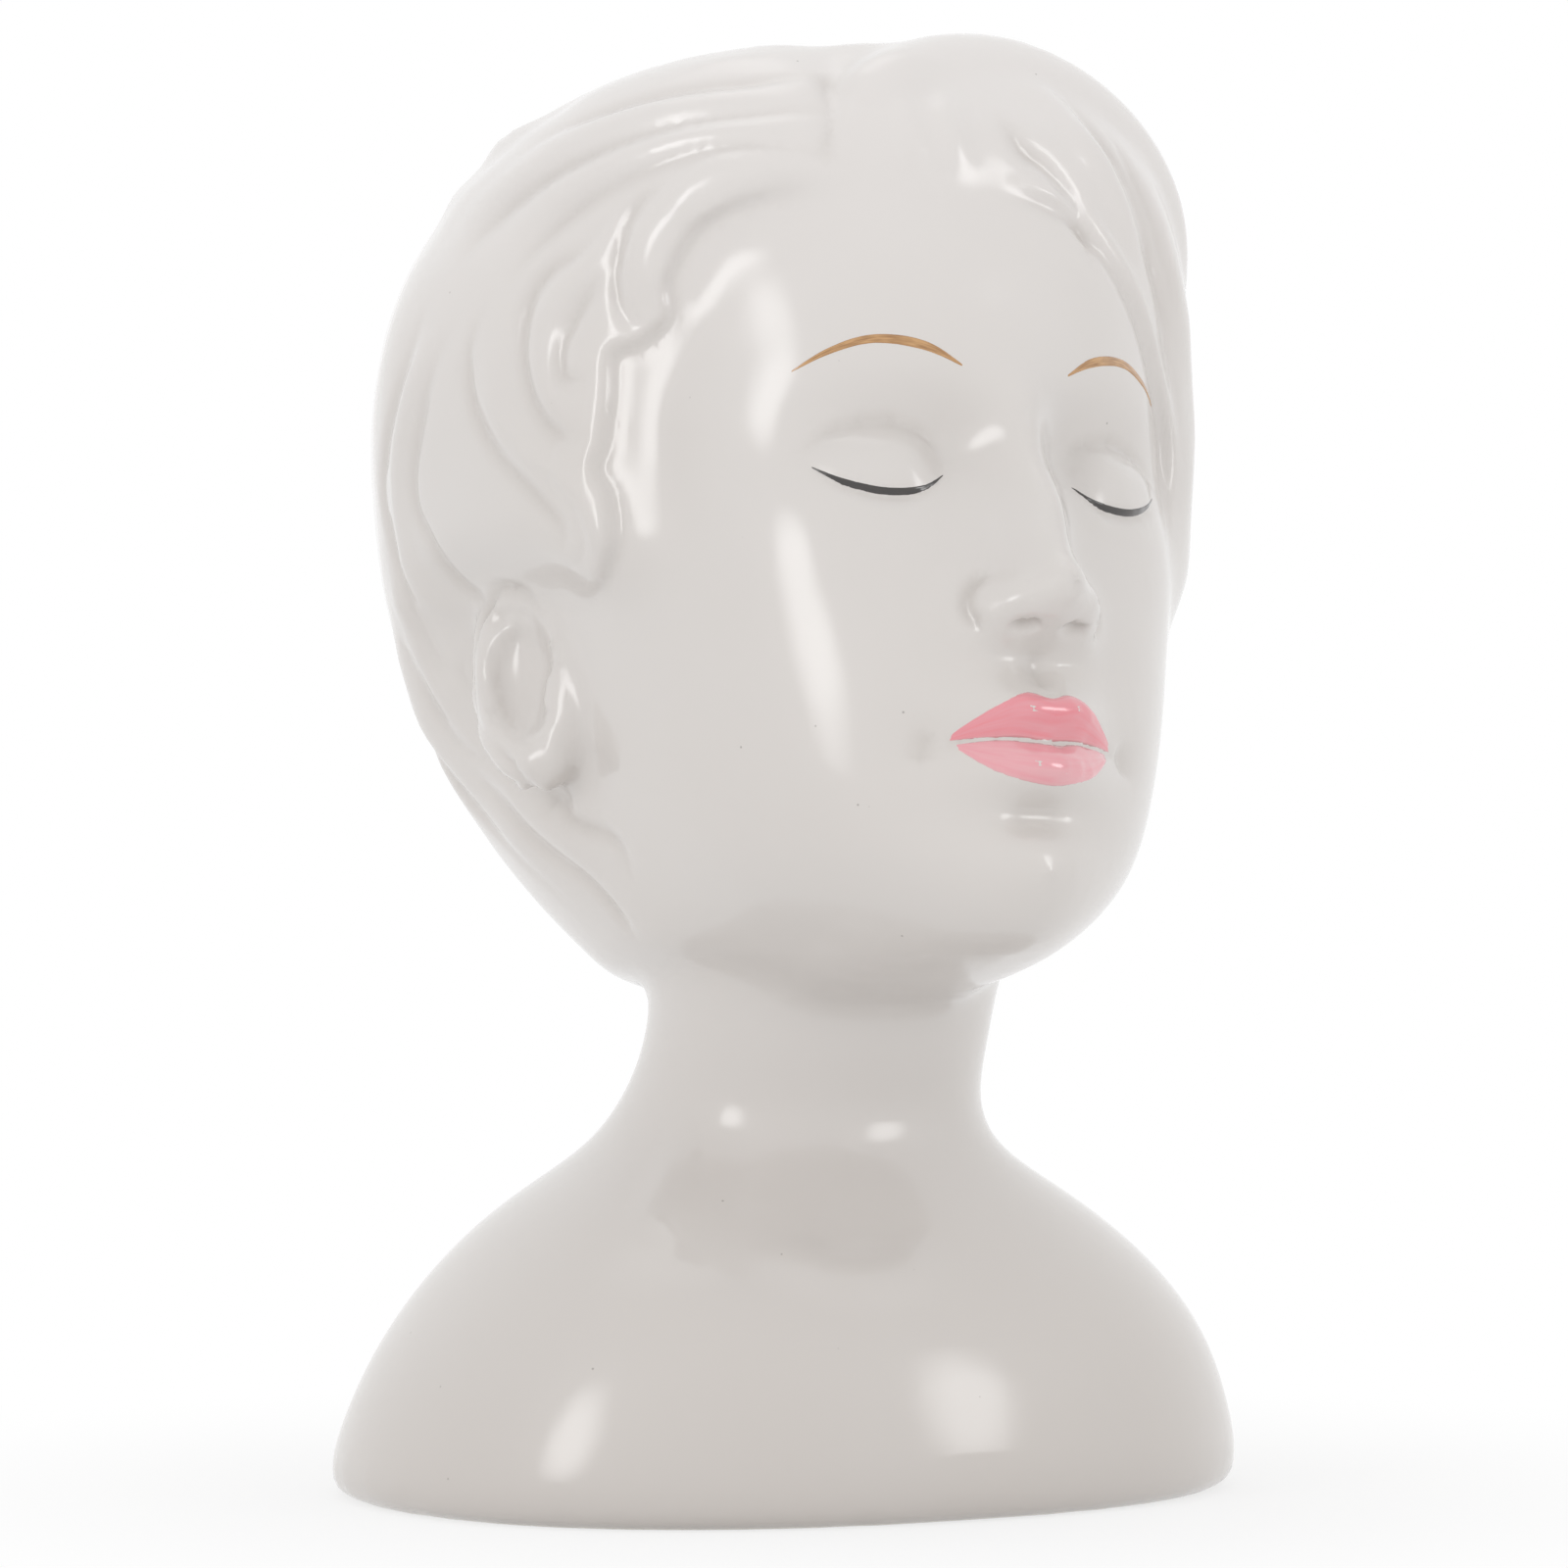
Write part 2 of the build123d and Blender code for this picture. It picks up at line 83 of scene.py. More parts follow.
def smooth_through(points: np.ndarray, count: int) -> np.ndarray:
    """Even steps along a smooth curve through points.

    Args:
        points: One row per point.
        count: How many steps.

    Returns:
        One row per step, the first and last on the end points.
    """
    ends = np.vstack([2 * points[0] - points[1], points, 2 * points[-1] - points[-2]])
    places = np.linspace(0, len(points) - 1, count)
    i = np.minimum(places.astype(int), len(points) - 2)
    t = (places - i)[:, None]
    a, b, c, d = ends[i], ends[i + 1], ends[i + 2], ends[i + 3]
    square, cube = 2 * a - 5 * b + 4 * c - d, 3 * b - a - 3 * c + d
    return 0.5 * (2 * b + (c - a) * t + square * t**2 + cube * t**3)


def add_node(tree: bpy.types.NodeTree, kind: str, settings: dict, links: dict) -> bpy.types.Node:
    """Add one node with its settings and what feeds it.

    Args:
        tree: Node tree of a material or a world.
        kind: Blender's name of the node type.
        settings: Attribute name, or input name or number, to value.
        links: Input name or number to the socket that feeds it.

    Returns:
        The new node.
    """
    node = tree.nodes.new(kind)
    for name, value in settings.items():
        if isinstance(name, str) and hasattr(node, name):
            setattr(node, name, value)
        else:
            node.inputs[name].default_value = value
    for name, socket in links.items():
        tree.links.new(socket, node.inputs[name])
    return node


def seen_rays(tree: bpy.types.NodeTree) -> bpy.types.NodeSocket:
    """Tell the rays that show a surface from those that light the object.

    Args:
        tree: Node tree of a material or a world.

    Returns:
        Socket that is 1 for what is seen straight, mirrored or through glass.
    """
    path = add_node(tree, "ShaderNodeLightPath", {}, {})
    seen = path.outputs["Is Camera Ray"]
    for kind in ("Is Glossy Ray", "Is Transmission Ray"):
        links = {0: seen, 1: path.outputs[kind]}
        seen = add_node(tree, "ShaderNodeMath", {"operation": "MAXIMUM"}, links).outputs[0]
    return seen


def new_material(name: str) -> bpy.types.Material:
    """An empty node material."""
    made = bpy.data.materials.new(name)
    made.use_nodes = True
    made.node_tree.nodes.clear()
    return made


def select_only(piece: bpy.types.Object) -> None:
    """Make one object the only selected and the active one."""
    bpy.ops.object.select_all(action="DESELECT")
    piece.select_set(True)
    bpy.context.view_layer.objects.active = piece


def apply_modifier(piece: bpy.types.Object, kind: str, settings: dict) -> None:
    """Add a modifier, set it and apply it.

    Args:
        piece: Object to change.
        kind: Blender's name of the modifier type.
        settings: Attribute name to value.
    """
    select_only(piece)
    modifier = piece.modifiers.new(kind.lower(), kind)
    for name, value in settings.items():
        setattr(modifier, name, value)
    bpy.ops.object.modifier_apply(modifier=modifier.name)


def merged_copy(node: str, name: str) -> bpy.types.Object:
    """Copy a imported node's mesh into a new object with its vertices joined.

    Args:
        node: Name of the node.
        name: Name of the new piece.

    Returns:
        The new piece, alone selected.
    """
    piece = bpy.data.objects.new(name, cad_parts[node].data.copy())
    bpy.context.collection.objects.link(piece)
    select_only(piece)
    bpy.ops.object.mode_set(mode="EDIT")
    bpy.ops.mesh.select_all(action="SELECT")
    bpy.ops.mesh.remove_doubles(threshold=0.002 * MM)
    bpy.ops.object.mode_set(mode="OBJECT")
    piece.data.materials.clear()
    return piece


def rows_of(collection: bpy.types.bpy_prop_collection, name: str) -> np.ndarray:
    """One row of three numbers for each vertex or face."""
    flat = np.empty(len(collection) * 3)
    collection.foreach_get(name, flat)
    return flat.reshape(-1, 3)


def near_tree(points: np.ndarray) -> KDTree:
    """Search tree over points.

    Args:
        points: One row per point.

    Returns:
        The tree, whose numbers are the rows'.
    """
    tree = KDTree(len(points))
    for i, point in enumerate(points):
        tree.insert(point, i)
    tree.balance()
    return tree


def surface_of(piece: bpy.types.Object) -> BVHTree:
    """Search tree over a piece's faces."""
    corners = [v.co for v in piece.data.vertices]
    return BVHTree.FromPolygons(corners, [p.vertices for p in piece.data.polygons])


class Ground(Enum):
    """What the two numbers of a way's points mean."""

    PHOTO = "pixels of the photograph"
    ROUND = "half turns round the head from the front, and head heights above the eye line"
    FACE = "head heights across and above the eye line, seen from the front"
    SIDE = "millimetres back and up from the head's middle, seen from its side"


class Section(Enum):
    """Cross-section of a carved stroke."""

    SWELL = "rounded roll or trough"
    CREASE = "narrow valley or crest"
    EDGE = "lip that stands on the left of the way and falls away from it"


@dataclass(frozen=True)
class Stroke:
    """One stroke of the modeller's tool along a way on the surface."""

    ground: Ground
    section: Section
    half_width_mm: float
    rise_mm: float
    way: Way
    both_sides: bool = False
    taper: float = 0.3

    def height(self, off: np.ndarray, side: np.ndarray, along: np.ndarray) -> np.ndarray:
        """How far the stroke lifts the surface.

        Args:
            off: Distance from the way, as a share of the half width.
            side: The same distance, positive on the left of the way.
            along: Share of the way's length.

        Returns:
            Lift in millimetres.
        """
        if self.section is Section.SWELL:
            shape = (1 - off**2) ** 2
        elif self.section is Section.CREASE:
            shape = (1 - off) ** 2
        else:
            lip = eased(side, -0.22, 0.12) * (1 - off)
            undercut = 0.25 * (1 - eased(np.abs(side + 0.2), 0.0, 0.25))
            shape = lip - undercut
        ends = eased(np.minimum(along, 1 - along), -0.02, max(self.taper, 0.01))
        return self.rise_mm * shape * ends


def groove(ground: Ground, way: Way, half_width_mm: float = 2.0, depth_mm: float = 1.0) -> Stroke:
    """A sharp valley between two locks."""
    return Stroke(ground, Section.CREASE, half_width_mm, -depth_mm, way)


def roll(ground: Ground, way: Way, half_width_mm: float = 2.8, rise_mm: float = 0.7) -> Stroke:
    """A rounded lock of hair."""
    return Stroke(ground, Section.SWELL, half_width_mm, rise_mm, way)


# Hair over the right temple and ear, then the parting and the quiff over the left temple
HAIR_STROKES: tuple[Stroke, ...] = (
    Stroke(
        Ground.PHOTO,
        Section.EDGE,
        5.0,
        1.5,
        [(585, 612), (612, 590), (622, 550), (618, 510), (604, 480), (612, 450), (618, 405), (622, 360)]
        + [(650, 345), (676, 322), (676, 285), (702, 235), (738, 208), (785, 194), (835, 186)],
        taper=0.16,
    ),
    Stroke(
        Ground.PHOTO,
        Section.EDGE,
        5.0,
        1.6,
        [(1020, 188), (1062, 200), (1100, 224), (1132, 262), (1160, 320)]
        + [(1180, 400), (1190, 480), (1195, 560)],
        taper=0.2,
    ),
    groove(Ground.PHOTO, [(690, 188), (655, 202), (634, 240), (628, 285), (634, 315), (650, 330),
            (664, 322)]),
    groove(Ground.PHOTO, [(652, 178), (600, 250), (562, 275), (538, 312), (532, 360), (542, 408),
            (562, 438)]
           + [(588, 450), (604, 438)]),
    groove(Ground.PHOTO, [(622, 262), (600, 300), (574, 350), (574, 382), (592, 388),
            (602, 376)], 1.7, 0.9),
    groove(Ground.PHOTO, [(500, 300), (478, 360), (482, 415), (504, 460), (542, 502), (572, 540),
            (576, 566)]),
    groove(Ground.PHOTO, [(535, 470), (560, 492), (590, 525), (598, 560), (586, 580)], 1.6, 0.7),
    groove(Ground.PHOTO, [(440, 300), (420, 355), (402, 410), (392, 460), (390, 505), (398, 550),
            (412, 600)]
           + [(440, 660), (478, 715)], 2.2),
    groove(Ground.PHOTO, [(470, 320), (440, 380), (426, 440), (420, 485), (424, 522), (440, 555),
            (478, 602)]
           + [(528, 640), (556, 655)], 2.2),
    groove(Ground.PHOTO, [(474, 660), (478, 700), (492, 745), (535, 795), (578, 832), (618, 852),
            (636, 870)]
           + [(650, 910)], 2.2, 1.1),
    groove(Ground.PHOTO, [(400, 635), (424, 680), (452, 735), (490, 772), (530, 804), (562, 826),
            (576, 850)]),
    groove(Ground.PHOTO, [(470, 770), (512, 818), (555, 866), (602, 902), (634, 938), (652, 960)]),
    groove(Ground.PHOTO, [(872, 112), (780, 116), (700, 126), (630, 146), (560, 180), (505, 225),
            (462, 275)], 2.4, 1.1),
    groove(Ground.PHOTO, [(862, 165), (790, 150), (720, 152), (660, 172), (600, 205), (548, 250),
            (512, 300)], 2.2, 0.9),
    groove(Ground.PHOTO, [(845, 78), (770, 84), (690, 94), (610, 116), (545, 146)], 2.2, 0.8),
    roll(Ground.PHOTO, [(860, 134), (780, 132), (710, 138), (650, 156), (585, 190), (530, 235),
            (486, 290)], 3.0, 0.8),
    roll(Ground.PHOTO, [(850, 98), (770, 100), (695, 110), (620, 130), (550, 165), (490, 215),
            (445, 265)], 3.0, 0.8),
    roll(Ground.PHOTO, [(860, 176), (790, 172), (726, 182), (688, 212), (655, 256),
            (652, 300)], 2.6, 0.8),
    roll(Ground.PHOTO, [(640, 212), (596, 276), (556, 330), (554, 385), (574, 415),
            (592, 408)], 2.6, 0.8),
    roll(Ground.PHOTO, [(520, 320), (502, 380), (512, 430), (548, 472), (588, 508), (606, 550),
            (590, 592)], 2.6, 0.8),
    roll(Ground.PHOTO, [(456, 315), (430, 370), (412, 430), (405, 490), (412, 550), (440, 610),
            (490, 660)], 2.6, 0.8),
    roll(Ground.PHOTO, [(400, 560), (416, 630), (448, 700), (498, 752), (548, 796)], 3.0, 0.7),
    roll(Ground.PHOTO, [(432, 690), (470, 748), (520, 800), (572, 850), (618, 890)], 3.0, 0.7),
    Stroke(Ground.PHOTO, Section.SWELL, 4.0, 1.0, [(850, 168), (864, 120), (886, 84), (920, 62),
            (965, 54)]),
    groove(Ground.PHOTO, [(838, 176), (848, 130), (846, 92), (838, 72)], 2.6, 1.0),
    roll(Ground.PHOTO, [(922, 88), (922, 130), (938, 176)], 2.6, 0.9),
    roll(Ground.PHOTO, [(968, 88), (968, 130), (986, 186)], 2.6, 0.9),
    groove(Ground.PHOTO, [(1010, 110), (1042, 150), (1066, 172), (1088, 200), (1104, 232),
            (1118, 280)], 2.4, 1.5),
    roll(Ground.PHOTO, [(1020, 72), (1066, 100), (1108, 146), (1138, 200), (1158, 260),
            (1174, 330)], 3.2, 0.9),
    groove(Ground.PHOTO, [(1080, 96), (1120, 140), (1154, 200), (1180, 290), (1192, 380),
            (1196, 460)], 2.2, 1.1),
    groove(Ground.PHOTO, [(1124, 130), (1162, 190), (1190, 270), (1200, 340)], 2.0, 0.8),
)

# Lids, nose, lips and ears, of the modeller's own invention
FACE_STROKES: tuple[Stroke, ...] = (
    Stroke(Ground.FACE, Section.CREASE, 1.5, -0.6,
           [(0.068, 0.004), (0.095, 0.030), (0.140, 0.042), (0.185, 0.032), (0.222, 0.004)], True),
    Stroke(Ground.FACE, Section.SWELL, 3.0, 0.45,
           [(0.078, -0.008), (0.108, 0.004), (0.145, 0.006), (0.182, 0.004), (0.205, -0.002)], True),
    Stroke(Ground.FACE, Section.CREASE, 1.3, -0.55,
           [(0.066, -0.010), (0.105, -0.040), (0.145, -0.045), (0.182, -0.032), (0.218, 0.000)], True),
    Stroke(Ground.FACE, Section.SWELL, 1.8, 0.3,
           [(0.078, -0.040), (0.110, -0.060), (0.148, -0.064), (0.190, -0.048)], True),
    Stroke(Ground.FACE, Section.CREASE, 1.6, -0.9,
           [(0.056, -0.128), (0.076, -0.146), (0.080, -0.172), (0.066, -0.192)], True, 0.2),
    Stroke(Ground.FACE, Section.CREASE, 1.5, -1.2,
           [(0.016, -0.188), (0.030, -0.192), (0.044, -0.188)], True, 0.2),
    Stroke(Ground.FACE, Section.SWELL, 1.5, -0.45, [(0.0, -0.208), (0.0, -0.232), (0.0, -0.252)]),
    Stroke(Ground.FACE, Section.SWELL, 1.2, 0.3, [(0.018, -0.210), (0.022, -0.232),
            (0.026, -0.254)], True),
    Stroke(Ground.FACE, Section.CREASE, 1.2, -0.5,
           [(-0.108, -0.305), (-0.05, -0.303), (0.0, -0.307), (0.05, -0.303),
            (0.108, -0.305)], False, 0.1),
    Stroke(Ground.FACE, Section.CREASE, 2.6, -0.5, [(0.108, -0.296), (0.120, -0.308),
            (0.122, -0.326)], True, 0.3),
    Stroke(Ground.FACE, Section.SWELL, 3.0, -0.4, [(-0.04, -0.374), (0.0, -0.378), (0.04, -0.374)]),
    Stroke(Ground.SIDE, Section.CREASE, 1.5, -0.8,
           [(3.5, -9.0), (6.0, -4.6), (10.0, -3.4), (13.5, -6.5), (14.4, -12.5), (12.2, -18.5)], True),
    Stroke(Ground.SIDE, Section.SWELL, 1.5, 0.7,
           [(6.5, -8.6), (9.4, -7.0), (11.6, -10.5), (11.0, -15.5), (8.6, -18.6)], True),
    Stroke(Ground.SIDE, Section.SWELL, 1.6, 0.9, [(3.4, -13.0), (4.2, -15.0), (4.0, -17.0)], True, 0.1),
    Stroke(Ground.SIDE, Section.SWELL, 2.4, 0.5, [(5.4, -21.2), (6.6, -22.4), (8.0, -22.6)], True, 0.1),
)

# Collarbones, the hollow over them and the tendon of the neck
BUST_STROKES: tuple[Stroke, ...] = (
    Stroke(Ground.PHOTO, Section.SWELL, 5.0, 0.9, [(770, 1262), (820, 1288), (875, 1300),
            (930, 1292), (975, 1270)]),
    Stroke(Ground.PHOTO, Section.SWELL, 7.0, -0.3, [(790, 1222), (850, 1248), (900, 1250),
            (950, 1232)]),
    Stroke(Ground.PHOTO, Section.SWELL, 5.0, 0.5, [(716, 1130), (700, 1190), (676, 1240), (640, 1270)]),
)


def back_strokes() -> Iterator[Stroke]:
    """Locks round the unseen left side and back, combed from the crown to the nape.

    Yields:
        A groove and the roll beside it for each lock.
    """
    first, last, count = 0.34, 1.24, 13
    for i in range(count):
        turn = first + (last - first) * i / (count - 1)
        over_ear = turn < 0.62
        low = 0.02 if over_ear else -0.37
        swing = 0.16 if over_ear else 0.05 * math.cos(i * 2.1)
        half_step = (last - first) / (count - 1) / 2
        pair = ((0.0, groove, 2.4, 1.3), (half_step, roll, 2.8, 0.1))
        for shift, make, half_width_mm, relief_mm in pair:
            way = []
            for step in range(7):
                t = step / 6
                bow = swing * t * t - 0.05 * math.sin(math.pi * t)
                way.append((turn + shift * (1 - 0.35 * t) + bow, 0.43 + (low - 0.43) * t))
            yield make(Ground.ROUND, way, half_width_mm, relief_mm)


@dataclass(frozen=True)
class PhotoCamera:
    """The photograph's camera, and lines of sight through its pixels."""

    place_mm: tuple[float, float, float] = (-400.0, -686.4, 85.0)
    aim_mm: tuple[float, float, float] = (0.0, 6.4, 72.8)
    sensor_mm: float = 36.0
    lens_mm: float = 177.75

    def turn(self) -> Matrix:
        """Rotation of the camera, looking along its own -Z."""
        look = Vector(self.aim_mm) - Vector(self.place_mm)
        return look.to_track_quat("-Z", "Y").to_matrix()

    def ray(self, x: float, y: float) -> tuple[Vector, Vector]:
        """Line of sight through one pixel.

        Args:
            x: Pixels from the left.
            y: Pixels from the top.

        Returns:
            The camera's place in metres and the direction of sight.
        """
        half = PHOTO_SIDE / 2
        reach = self.sensor_mm / (2 * self.lens_mm)
        seen = Vector(((x - half) / half * reach, (half - y) / half * reach, -1.0))
        return Vector(self.place_mm) * MM, (self.turn() @ seen).normalized()

    def build(self) -> None:
        """Put the camera into the scene."""
        data = bpy.data.cameras.new("photo_camera")
        data.sensor_width = self.sensor_mm
        data.lens = self.lens_mm
        data.clip_start = 0.05
        eye = bpy.data.objects.new("photo_camera", data)
        eye.matrix_world = Matrix.Translation(Vector(self.place_mm) * MM) @ self.turn().to_4x4()
        bpy.context.collection.objects.link(eye)
        bpy.context.scene.camera = eye


@dataclass(frozen=True)
class HeadPose:
    """How the head is held over the bust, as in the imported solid."""

    height_mm: float = 95.0
    centre_mm: tuple[float, float, float] = (0.0, -2.1, 96.0)
    pitch_deg: float = -14.0
    roll_deg: float = 4.0
    reach_mm: float = 150.0

    def line(self, start: Vector, way: Vector) -> tuple[Vector, Vector]:
        """A line in the head's own frame, in millimetres, brought into the shared frame."""
        turn = Matrix.Rotation(math.radians(self.pitch_deg), 3, "X")
        turn = turn @ Matrix.Rotation(math.radians(self.roll_deg), 3, "Y")
        return (turn @ start + Vector(self.centre_mm)) * MM, turn @ way

    def ray(self, ground: Ground, a: float, b: float, side: int) -> tuple[Vector, Vector]:
        """Line towards the head's surface.

        Args:
            ground: What the two numbers mean.
            a: First number.
            b: Second number.
            side: 1 for the figure's left, -1 for its right.

        Returns:
            Where the line starts, in metres, and its direction.
        """
        if ground is Ground.FACE:
            start = Vector((side * a * self.height_mm, -self.reach_mm, b * self.height_mm))
            return self.line(start, Vector((0.0, 1.0, 0.0)))
        if ground is Ground.SIDE:
            return self.line(Vector((side * self.reach_mm, a, b)), Vector((-side, 0.0, 0.0)))
        out = Vector((side * math.sin(a * math.pi), -math.cos(a * math.pi), 0.0))
        return self.line(out * self.reach_mm + Vector((0.0, 0.0, b * self.height_mm)), -out)


def ray_for(ground: Ground, a: float, b: float, side: int) -> tuple[Vector, Vector]:
    """Line that meets the surface at a way's point.

    Args:
        ground: What the two numbers mean.
        a: First number.
        b: Second number.
        side: 1, or -1 for the mirrored point.

    Returns:
        Where the line starts, in metres, and its direction.
    """
    if ground is Ground.PHOTO:
        return PhotoCamera().ray(a, b)
    return HeadPose().ray(ground, a, b, side)


@dataclass
class Carver:
    """Lays strokes on a piece's outer surface and moves its vertices."""

    piece: bpy.types.Object
    step_mm: float = 0.5
    fine_mm: float = 1.7
    surface: BVHTree = field(init=False)

    def __post_init__(self) -> None:
        """Keep the surface as it is before any stroke."""
        self.surface = surface_of(self.piece)

    def trace(self, stroke: Stroke) -> list[np.ndarray]:
        """Follow a stroke's way over the surface.

        Args:
            stroke: The stroke.

        Returns:
            For each side, rows of a place, the way out and the way of travel, in metres.
        """
        traced = []
        for side in (1, -1) if stroke.both_sides else (1,):
            rays = [ray_for(stroke.ground, a, b, side) for a, b in stroke.way]
            hits = [self.surface.ray_cast(*ray)[0] for ray in rays]
            met = np.array([tuple(h) for h in hits if h is not None])
            if len(met) < 2:
                LOG.warning("a %s way misses the surface", stroke.ground.name)
                continue
            length = np.linalg.norm(np.diff(met, axis=0), axis=1).sum()
            line = smooth_through(met, max(8, int(length / (self.step_mm * MM))))
            found = [self.surface.find_nearest(Vector(p))[:2] for p in line]
            places = np.array([tuple(p) for p, _ in found])
            outs = np.array([tuple(n) for _, n in found])
            travel = np.gradient(places, axis=0)
            if side < 0:
                travel = -travel
            traced.append(np.hstack([places, outs, travel]))
        return traced

    def refine(self, traces: Sequence[tuple[Stroke, np.ndarray]]) -> None:
        """Divide the faces under the sharp strokes once.

        Args:
            traces: Each stroke with one of its followed ways.
        """
        mesh = self.piece.data
        centres = rows_of(mesh.polygons, "center")
        tree = near_tree(centres)
        chosen = np.zeros(len(centres), bool)
        for stroke, rows in traces:
            if stroke.section is Section.SWELL:
                continue
            for row in rows[::2]:
                for _, i, _ in tree.find_range(row[:3], min(stroke.half_width_mm, self.fine_mm) * MM):
                    chosen[i] = True
        for part in (mesh.vertices, mesh.edges):
            part.foreach_set("select", np.zeros(len(part), bool))
        mesh.polygons.foreach_set("select", chosen)
        select_only(self.piece)
        bpy.ops.object.mode_set(mode="EDIT")
        bpy.ops.mesh.select_mode(type="FACE")
        bpy.ops.mesh.subdivide(number_cuts=1, smoothness=0.0)
        bpy.ops.object.mode_set(mode="OBJECT")

    def carve(self, traces: Sequence[tuple[Stroke, np.ndarray]]) -> np.ndarray:
        """Move the vertices under the strokes.

        Args:
            traces: Each stroke with one of its followed ways.

        Returns:
            How far each vertex was lifted, in millimetres.
        """
        vertices = self.piece.data.vertices
        places, outs = rows_of(vertices, "co"), rows_of(vertices, "normal")
        tree = near_tree(places)
        lift = np.zeros(len(places))
        for stroke, rows in traces:
            reach = stroke.half_width_mm * MM
            best: dict[int, tuple[float, int]] = {}
            for k, row in enumerate(rows):
                for _, i, off in tree.find_range(row[:3], reach):
                    if i not in best or off < best[i][0]:
                        best[i] = (off, k)
            ids = np.array(sorted(best), int)
            near = np.array([best[i][1] for i in ids], int)
            off = np.array([best[i][0] for i in ids]) / reach
            left = np.cross(rows[near, 3:6], rows[near, 6:9])
            left /= np.linalg.norm(left, axis=1, keepdims=True) + 1e-12
            side = np.einsum("ij,ij->i", places[ids] - rows[near, :3], left) / reach
            facing = np.einsum("ij,ij->i", outs[ids], rows[near, 3:6]) > 0.1
            lift[ids] += np.where(facing, stroke.height(off, side, near / (len(rows) - 1)), 0.0)
        moved = places + outs * lift[:, None] * MM
        vertices.foreach_set("co", moved.reshape(-1))
        self.piece.data.update()
        return lift


